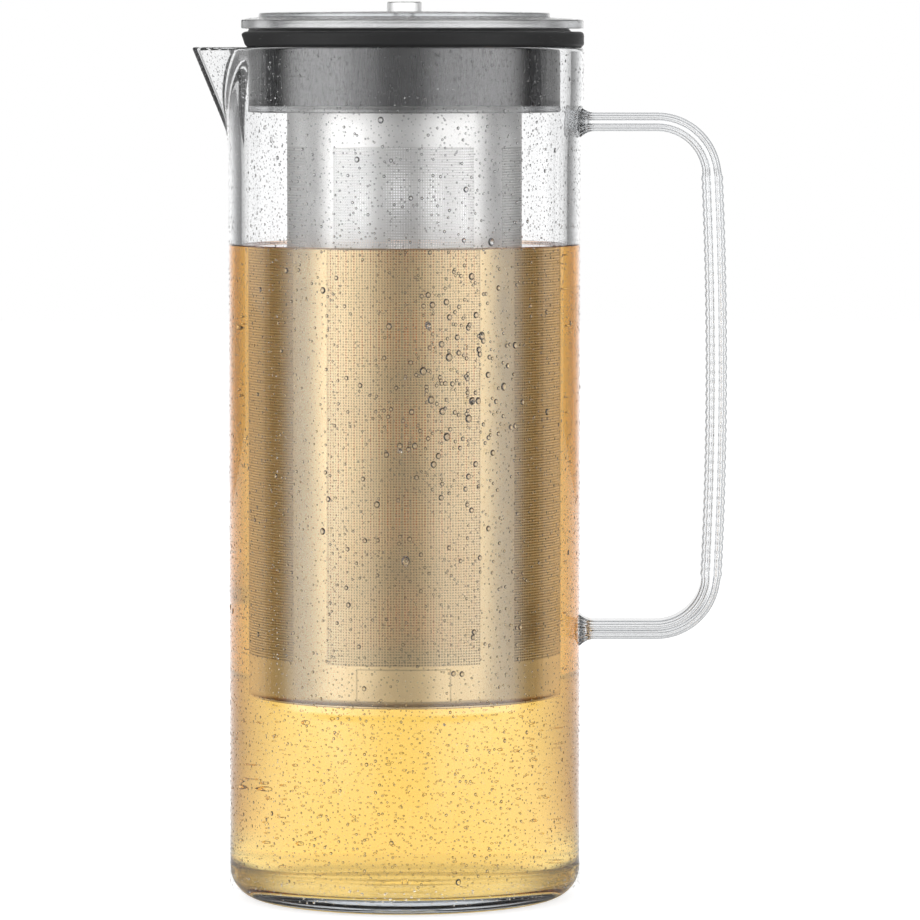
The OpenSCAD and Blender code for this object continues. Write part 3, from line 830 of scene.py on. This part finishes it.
# %% Cap and knob
KNOB_Z, KNOB_TOP, KNOB_R = 266.08, 269.08, 5.15
cap_top = CAP_Z + 1.4
cap = [[2.1, CAP_Z], [38.7, CAP_Z], [38.7, CAP_Z - 2], [40.7, CAP_Z - 2], [40.7, CAP_Z], [CAP_R, CAP_Z],
       [CAP_R, cap_top], [38.0, cap_top + 0.05], [24.0, cap_top + 0.2], [9.0, cap_top + 0.38],
       [2.1, cap_top + 0.4]]
in_cap = {"material": lid_clear, "body": "filling_cap", "slot": "clear_lid"}
turned("filling_cap_disc", softened(cap, [0.1, 0.4, 0.3, 0.3, 0.3, 0.2, 0.45, 4, 6, 4, 0.1]),
       replaces=["cap"], **in_cap)
knob = [[0, CAP_Z], [2.0, CAP_Z], [2.0, KNOB_Z], [KNOB_R, KNOB_Z], [KNOB_R, KNOB_TOP], [0, KNOB_TOP]]
turned("cap_knob", softened(knob, [0, 0.1, 0.02, 0.25, 0.45, 0]), around=96, replaces=["knob"], **in_cap)

# %% [markdown]
# ## Condensation
#
# Cold tea draws water from the air, so the whole outside is beaded with drops, mostly half a millimetre
# across, and a few that have run together. They could be a particle system, but one mesh of many small
# caps is simpler and always comes out the same. Each drop is a few dozen faces at most.

# %% One drop, and many
CONTACT, DROP_H = math.radians(37), 0.335


def drop_template(columns, rings):
    """A drop as a slice of a sphere that meets the wall at the angle CONTACT = e, over a base of radius 1 and
    with height 1. Ring k lies at u = e k / rings, with radius sin u / sin e and height (cos u - cos e) /
    (1 - cos e). Its rim and its closed underside lie a little below the surface."""
    u = (np.arange(rings) + 1) / rings * CONTACT
    a = np.arange(columns) / columns * TURN
    r = (np.sin(u) / math.sin(CONTACT))[:, None]
    h = ((np.cos(u) - math.cos(CONTACT)) / (1 - math.cos(CONTACT)))[:, None]
    h[-1] = -0.08
    points = np.stack(np.broadcast_arrays(r * np.cos(a), r * np.sin(a), h), -1).reshape(-1, 3)
    points = np.concatenate([points, [[0, 0, 1], [0, 0, -0.2]]])
    return points, grid_faces(rings, columns), end_fans(rings, columns)


def drops(name, where, normal, down, radius, template, body):
    """Copies the template to every place. Its axes are the surface's normal, the way down along the
    surface and their cross product, and big drops are a little longer downwards."""
    points, quads, fans = template
    side = np.cross(normal, down)
    long = radius * (1 + 0.3 * np.clip(radius - 0.3, 0, 0.8))
    p = (where[:, None] + side[:, None] * points[None, :, :1] * radius[:, None, None]
         + down[:, None] * points[None, :, 1:2] * long[:, None, None]
         + normal[:, None] * points[None, :, 2:] * DROP_H * radius[:, None, None])
    lo, hi = (np.array(c) / MM for c in cad_box)
    p = p[((p > lo + 0.01) & (p < hi - 0.01)).all((1, 2))]
    shift = (np.arange(len(p)) * len(points))[:, None, None]
    return piece(name, p, (quads[None] + shift).reshape(-1, 4), (fans[None] + shift).reshape(-1, 3),
                 material=drop_water, body=body)


def on_jug(phi, z):
    """Points on the jug's outside, with their normals from small differences of the radius function."""
    def at(p, h):
        """The point of the outside at the angle p and the height h."""
        r = outer_radius(np.where(p > math.pi, p - TURN, p), h)
        return np.stack([-r * np.cos(p), -r * np.sin(p), h], -1)
    here = at(phi, z)
    out = np.cross(at(phi + 0.002, z) - here, at(phi, z + 0.1) - here)
    out /= np.linalg.norm(out, axis=1, keepdims=True)
    out *= np.sign((out * here * [1, 1, 0]).sum(1, keepdims=True))
    fall = [0, 0, -1.0] + out * out[:, 2:]
    return here, out, fall / np.linalg.norm(fall, axis=1, keepdims=True)


# %% Where drops may sit, and how large they are
chance = np.random.default_rng(7)
FINE, ROUND = drop_template(5, 2), drop_template(10, 4)


def beads(low, high, spacing, length, jitter=0.47):
    """Places along a length and a height, one in each cell of a grid and moved at random within it."""
    n_a, n_z = int(length / spacing), max(1, int((high - low) / spacing))
    i, j = np.meshgrid(np.arange(n_a), np.arange(n_z), indexing="ij")
    a = (i + 0.5 + chance.uniform(-jitter, jitter, i.shape)) / n_a
    z = low + (j + 0.5 + chance.uniform(-jitter, jitter, i.shape)) * (high - low) / n_z
    return a.ravel(), z.ravel()


def sizes(count, middle, scatter, smallest, largest):
    """Radii whose logarithm is normally spread round that of the middle one, as drops grow by joining."""
    return np.clip(np.exp(chance.normal(math.log(middle), scatter, count)), smallest, largest)


def off_handle(a, z):
    """False where a foot of the handle meets the wall."""
    side = np.abs(a - math.pi) * BODY_R
    return ~((side < 9.5) & ((np.abs(z - ARM_TOP) < 6.5) | (np.abs(z - ARM_LOW) < 6.5)))


# %% Large drops: anywhere, in a patch at the front, in a band round it, and one that has run together
ANYWHERE, PATCH, BELT = 420, 150, 130
big_a = np.concatenate([chance.uniform(0, TURN, ANYWHERE), chance.normal(1.95, 0.22, PATCH),
                        chance.uniform(1.1, 2.3, BELT), [1.585]])
big_z = np.concatenate([chance.uniform(6, 250, ANYWHERE), chance.normal(160, 22, PATCH),
                        chance.uniform(70, 190, BELT), [105.4]])
big_r = np.concatenate([sizes(ANYWHERE, 0.45, 0.3, 0.3, 0.9), sizes(PATCH, 0.58, 0.3, 0.35, 1.05),
                        sizes(BELT, 0.5, 0.3, 0.3, 0.9), [1.25]])
keep = off_handle(big_a, big_z)
big_a, big_z, big_r = (v[keep] for v in (big_a, big_z, big_r))

# %% Small drops of the jug, where no large one sits
bead_a, bead_z = beads(3.5, 254.3, 1.72, TURN * BODY_R)
bead_a = bead_a * TURN
bead_r = sizes(len(bead_a), 0.23, 0.34, 0.12, 0.5)
gap = np.hypot((bead_a[:, None] - big_a) * BODY_R, bead_z[:, None] - big_z) - big_r * 1.15
keep = off_handle(bead_a, bead_z) & (gap.min(1) > bead_r) & (chance.uniform(size=len(bead_a)) < 0.96)
bead_a, bead_z, bead_r = (v[keep] for v in (bead_a, bead_z, bead_r))
drops("drops_jug_large", *on_jug(big_a, big_z), big_r, ROUND, "jug")
quarter_of = (bead_a / TURN * 4).astype(int)
for k in range(4):
    mine = quarter_of == k
    drops(f"drops_jug_{k + 1}", *on_jug(bead_a[mine], bead_z[mine]), bead_r[mine], FINE, "jug")

# %% Drops on the lid
def upright(a, z, r):
    """Places, normals and downward directions on a wall of radius r, angles a from +X."""
    flat = np.stack([np.cos(a), np.sin(a), 0 * a], -1)
    return flat * r + np.stack([0 * a, 0 * a, z], -1), flat, np.broadcast_to([0, 0, -1.0], flat.shape)


def lying(a, r, z):
    """The same on a nearly level top, at radius r and height z."""
    spoke = np.stack([np.cos(a), np.sin(a), 0 * a], -1)
    up = np.broadcast_to([0, 0, 1.0], spoke.shape)
    return spoke * r[:, None] + np.stack([0 * a, 0 * a, z], -1), up, spoke


side_a, side_z = beads(256.6, 259.0, 1.1, TURN * 53.7)
keep = np.cos(side_a * TURN) > -0.82
side_a, side_z = side_a[keep] * TURN, side_z[keep]
drops("drops_seal", *upright(side_a, side_z, 53.74), sizes(len(side_a), 0.16, 0.25, 0.1, 0.3), FINE, "lid")
edge_a, edge_r = beads(44.6, 53.0, 1.6, TURN * 48.0)
keep = -np.cos(edge_a * TURN) * edge_r < 47.0
edge_a, edge_r = edge_a[keep] * TURN, edge_r[keep]
drops("drops_plate", *lying(edge_a, edge_r, dome(edge_r)), sizes(len(edge_a), 0.22, 0.3, 0.12, 0.5), FINE,
      "lid")
cap_a, cap_r = beads(6.5, 42.5, 1.7, TURN * 26.0)
cap_a = cap_a * TURN
cap_level = np.interp(cap_r, [9, 24, 38, 43], [CAP_Z + 1.775, CAP_Z + 1.6, CAP_Z + 1.46, CAP_Z + 1.38])
drops("drops_cap", *lying(cap_a, cap_r, cap_level), sizes(len(cap_a), 0.24, 0.3, 0.12, 0.5), FINE,
      "filling_cap")

# %% [markdown]
# ## Stage, light and camera
#
# The photograph is a plain studio shot on white: a bright screen behind the jug, two tall soft panels in
# front at either side, and dim surroundings between them and beside the screen. The dim parts matter as
# much as the lights, because clear plastic and steel show nothing but what surrounds them.

# %% Stage helpers
def sheet(name, points, quads, material):
    """An open sheet of the stage, in millimetres."""
    made = piece(name, points, quads, material=material, open_sheet=True)
    return made


def ray(tree, what):
    """What the Light Path node knows about the ray, for example whether it comes from the camera."""
    return add(tree, "ShaderNodeLightPath").outputs[what]


def mirrored(tree):
    """1 for a ray that something has reflected, also once it has left through the jug's wall, else 0."""
    return spread(tree, ray(tree, "Glossy Depth"), 0, 1)


def emit(tree, out, colour, strength):
    """Makes the whole sheet glow."""
    glow = add(tree, "ShaderNodeEmission", {"Color": colour, "Strength": strength})
    tree.links.new(glow.outputs[0], out.inputs["Surface"])


def ramp(tree, share, stops, interpolation="LINEAR"):
    """Grey levels at places between 0 and 1, with straight or eased passages between them."""
    made = add(tree, "ShaderNodeValToRGB", {"Fac": share})
    made.color_ramp.interpolation = interpolation
    for at, _ in stops[2:]:
        made.color_ramp.elements.new(at)
    for element, (at, level) in zip(made.color_ramp.elements, stops):
        element.position, element.color = at, grey(level)
    return made.outputs["Color"]


# %% [markdown]
# The camera sees the floor as an even white. For the light that the clear pieces bend or mirror, the floor
# glows mainly in the directions behind the jug, where the screen stands over it, and dimly close to the
# jug, which shades it. Mirrored rays also meet a dark flag on the floor in front, so that the steel isn't
# lit from below.

# %% Floor
floor_mat, tree, floor_out = bare_material("floor_white")
xyz = own_xyz(tree)
bearing = calc(tree, "ABSOLUTE", calc(tree, "ARCTAN2", xyz["X"], xyz["Y"]))
behind = spread(tree, bearing, 0.8, 0.1, math.radians(18), math.radians(48))
distance = add(tree, "ShaderNodeVectorMath", {0: own(tree)}, operation="LENGTH").outputs["Value"]
shaded = calc(tree, "MULTIPLY", behind, spread(tree, distance, 0.4, 1.0, 0.05, 0.12))
strength = mix(tree, ray(tree, "Is Camera Ray"), shaded, 0.75, data_type="FLOAT")
matt = add(tree, "ShaderNodeBsdfDiffuse", {"Color": grey(0.5)})
glow = add(tree, "ShaderNodeEmission", {"Color": grey(1), "Strength": strength})
pale = add(tree, "ShaderNodeAddShader", {0: matt.outputs[0], 1: glow.outputs[0]})
dark = add(tree, "ShaderNodeBsdfPrincipled", {"Base Color": grey(0.1), "Roughness": 0.12})
flag = calc(tree, "MULTIPLY", spread(tree, xyz["Y"], 1, 0, -0.36, -0.24), mirrored(tree))
either = add(tree, "ShaderNodeMixShader", {"Fac": flag, 1: pale.outputs[0], 2: dark.outputs[0]})
tree.links.new(either.outputs[0], floor_out.inputs["Surface"])
floor_xyz = [[-4e3, -4e3, -0.2], [4e3, -4e3, -0.2], [4e3, 4e3, -0.2], [-4e3, 4e3, -0.2]]
sheet("floor", floor_xyz, [[0, 1, 2, 3]], floor_mat)

# %% Screen behind the jug, dimmer towards its sides, above all for mirrored rays
screen_mat, tree, screen_out = bare_material("screen_white")
off_axis = calc(tree, "ABSOLUTE", own_xyz(tree)["X"])
sides = mix(tree, mirrored(tree), 1.0, spread(tree, off_axis, 1.0, 0.4, 0.4, 0.9), data_type="FLOAT")
emit(tree, screen_out, grey(1), calc(tree, "MULTIPLY", spread(tree, off_axis, 1.2, 0.35, 0.55, 1.6), sides))
screen_xyz = [[-1920, 1500, -0.1], [1920, 1500, -0.1], [1920, 1500, 1300], [-1920, 1500, 1300]]
screen = sheet("screen", screen_xyz, [[0, 1, 2, 3]], screen_mat)
screen.visible_camera = screen.visible_diffuse = screen.visible_shadow = False

# %% Soft panels in front, by their bearing in degrees from straight in front
TENT_R, TENT_TOP, TENT_END, PANEL_LIGHT = 600.0, 900.0, 100, 2.4
BEARINGS = ((-90, 0.0), (-70, 1.0), (-46, 1.0), (-28, 0.6), (-8, 0.2), (8, 0.22), (28, 0.7), (50, 0.85),
            (70, 0.85), (88, 0.0))
panel_mat, tree, panel_out = bare_material("panel_light")
xyz = own_xyz(tree)
bearing = calc(tree, "ARCTAN2", xyz["X"], calc(tree, "MULTIPLY", xyz["Y"], -1.0))
across = spread(tree, bearing, 0, 1, math.radians(-TENT_END), math.radians(TENT_END))
stops = [((degrees + TENT_END) / (2 * TENT_END), level) for degrees, level in BEARINGS]
emit(tree, panel_out, ramp(tree, across, stops, "EASE"), PANEL_LIGHT)
tent_a = np.radians(np.linspace(-TENT_END, TENT_END, 81))
tent_ring = np.stack([TENT_R * np.sin(tent_a), -TENT_R * np.cos(tent_a), 0 * tent_a + 1], -1)
k = np.arange(80)
panels = sheet("panels", np.concatenate([tent_ring, tent_ring * [1, 1, TENT_TOP]]),
               np.stack([k, k + 1, k + 82, k + 81], -1), panel_mat)
panels.visible_camera = panels.visible_shadow = False

# %% The room's own light: by direction for glossy and bent rays, even for diffuse ones, white for the camera
ROOM = ((0.12, 0.3), (0.2, 0.75), (0.40, 0.75), (0.46, 0.42), (0.6, 0.3), (0.99, 0.1))
world = bpy.data.worlds.new("studio")
bpy.context.scene.world = world
world.use_nodes = True
sky = world.node_tree
sky.nodes.clear()
sky_out = sky.nodes.new("ShaderNodeOutputWorld")
way = add(sky, "ShaderNodeTexCoord").outputs["Generated"]
way = add(sky, "ShaderNodeSeparateXYZ", {0: way}).outputs
light = ramp(sky, spread(sky, way["Y"], 1, 0, -1, 1), ROOM)
light = mix(sky, spread(sky, way["Z"], 0, 1, 0.15, 0.6), light, grey(0.85))
light = mix(sky, ray(sky, "Is Diffuse Ray"), light, grey(0.75))
light = mix(sky, ray(sky, "Is Camera Ray"), light, grey(1))
sky_glow = add(sky, "ShaderNodeBackground", {"Color": light, "Strength": 1.0})
sky.links.new(sky_glow.outputs[0], sky_out.inputs["Surface"])
print("panels", PANEL_LIGHT, "room", max(level for _, level in ROOM))

# %% Camera, from the photograph's height and distance
PITCH, DISTANCE = math.radians(3.74), 1.888
AIM_X, AIM_Z = 0.01665, 0.1316
lens = bpy.data.cameras.new("camera")
lens.lens, lens.sensor_width = 245.7, 36
lens.clip_start, lens.clip_end = 0.1, 30
camera = bpy.data.objects.new("camera", lens)
bpy.context.scene.collection.objects.link(camera)
camera.location = (AIM_X, -DISTANCE * math.cos(PITCH), AIM_Z + DISTANCE * math.sin(PITCH))
camera.rotation_euler = (math.pi / 2 - PITCH, 0, 0)
bpy.context.scene.camera = camera
print("camera", round(DISTANCE, 2), "m away, looking down by", round(math.degrees(PITCH), 1), "degrees")

# %% How far light is followed through the clear pieces
view = bpy.context.scene.view_settings
view.view_transform = "Standard"
rays = bpy.context.scene.cycles
rays.max_bounces = rays.transmission_bounces = 40
rays.glossy_bounces, rays.diffuse_bounces = 8, 3
rays.transparent_max_bounces = 24
